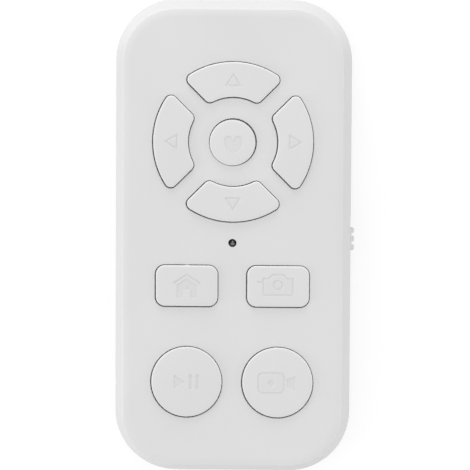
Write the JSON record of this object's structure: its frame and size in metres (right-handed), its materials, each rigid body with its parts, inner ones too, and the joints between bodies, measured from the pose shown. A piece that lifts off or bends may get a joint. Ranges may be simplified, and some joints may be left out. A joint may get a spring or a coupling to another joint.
{
  "type": "bluetooth camera shutter remote",
  "caption": "Slim pocket remote for a phone camera: round-cornered two-part housing with a direction pad, round and oblong keys, status light, side power switch and charging port.",
  "frame": {"origin": "middle of the flat back face, on the surface that the remote lies on", "axes": "+Z out of the key face, +Y towards the direction-pad end, +X towards the side with the slide switch; the charging port is at the -Y end"},
  "size_m": [0.0404, 0.08, 0.0099],
  "materials": {
    "shell_plastic": "satin moulded ABS, very light neutral grey, fine even texture",
    "key_plastic": "satin moulded ABS, same very light grey as the housing",
    "screw_steel": "zinc plated",
    "board_laminate": "green solder mask over glass laminate",
    "chip_epoxy": "black moulded epoxy",
    "plated_steel": "nickel plated stamped sheet",
    "antenna_ceramic": "fired ceramic",
    "capacitor_ceramic": "tan ceramic",
    "lamp_resin": "clear resin over a small lamp",
    "clear_plastic": "polished translucent plastic",
    "black_plastic": "black glass-filled nylon",
    "white_nylon": "natural nylon",
    "gold_contact": "gold flashed",
    "pouch_foil": "laminated foil pouch",
    "foam_tape": "white double sided tape",
    "red_wire": "soft insulation",
    "black_wire": "soft insulation"
  },
  "bodies": {
    "root": {"top_shell": "shell_plastic", "bottom_shell": "shell_plastic", "housing_screws": "screw_steel", "circuit_board": "board_laminate", "radio_chip": "chip_epoxy", "crystal_can": "plated_steel", "charger_chip": "chip_epoxy", "antenna_chip": "antenna_ceramic", "capacitors": "capacitor_ceramic", "resistors": "chip_epoxy", "status_lamp": "lamp_resin", "light_guide": "clear_plastic", "port_can": "plated_steel", "port_insulator": "black_plastic", "port_contacts": "gold_contact", "slide_switch_body": "black_plastic", "slide_switch_shield": "plated_steel", "battery_cell": "pouch_foil", "battery_tape": "foam_tape", "battery_guard_board": "board_laminate", "battery_wire_red": "red_wire", "battery_wire_black": "black_wire", "key_switch_covers": "plated_steel", "key_switch_domes": "plated_steel", "up_switch_base": "black_plastic", "left_switch_base": "black_plastic", "down_switch_base": "black_plastic", "right_switch_base": "black_plastic", "heart_switch_base": "black_plastic", "home_switch_base": "black_plastic", "camera_switch_base": "black_plastic", "play_switch_base": "black_plastic", "video_switch_base": "black_plastic"},
    "up_button": {"up_key": "key_plastic", "up_plunger": "white_nylon"},
    "left_button": {"left_key": "key_plastic", "left_plunger": "white_nylon"},
    "down_button": {"down_key": "key_plastic", "down_plunger": "white_nylon"},
    "right_button": {"right_key": "key_plastic", "right_plunger": "white_nylon"},
    "heart_button": {"heart_key": "key_plastic", "heart_plunger": "white_nylon"},
    "home_button": {"home_key": "key_plastic", "home_plunger": "white_nylon"},
    "camera_button": {"camera_key": "key_plastic", "camera_plunger": "white_nylon"},
    "play_button": {"play_key": "key_plastic", "play_plunger": "white_nylon"},
    "video_button": {"video_key": "key_plastic", "video_plunger": "white_nylon"},
    "power_slider": {"power_knob": "key_plastic", "slide_switch_lever": "white_nylon"}
  },
  "joints": [
    {"name": "up_press", "type": "slide", "parent": "root", "child": "up_button", "axis": [0, 0, -1], "range_m": [0, 0.0003], "stiffness_N_per_m": 1000},
    {"name": "left_press", "type": "slide", "parent": "root", "child": "left_button", "axis": [0, 0, -1], "range_m": [0, 0.0003], "stiffness_N_per_m": 1000},
    {"name": "down_press", "type": "slide", "parent": "root", "child": "down_button", "axis": [0, 0, -1], "range_m": [0, 0.0003], "stiffness_N_per_m": 1000},
    {"name": "right_press", "type": "slide", "parent": "root", "child": "right_button", "axis": [0, 0, -1], "range_m": [0, 0.0003], "stiffness_N_per_m": 1000},
    {"name": "heart_press", "type": "slide", "parent": "root", "child": "heart_button", "axis": [0, 0, -1], "range_m": [0, 0.0003], "stiffness_N_per_m": 1000},
    {"name": "home_press", "type": "slide", "parent": "root", "child": "home_button", "axis": [0, 0, -1], "range_m": [0, 0.0003], "stiffness_N_per_m": 1000},
    {"name": "camera_press", "type": "slide", "parent": "root", "child": "camera_button", "axis": [0, 0, -1], "range_m": [0, 0.0003], "stiffness_N_per_m": 1000},
    {"name": "play_press", "type": "slide", "parent": "root", "child": "play_button", "axis": [0, 0, -1], "range_m": [0, 0.0003], "stiffness_N_per_m": 1000},
    {"name": "video_press", "type": "slide", "parent": "root", "child": "video_button", "axis": [0, 0, -1], "range_m": [0, 0.0003], "stiffness_N_per_m": 1000},
    {"name": "power_slide", "type": "slide", "parent": "root", "child": "power_slider", "axis": [0, 1, 0], "range_m": [0, 0.0015]}
  ]
}
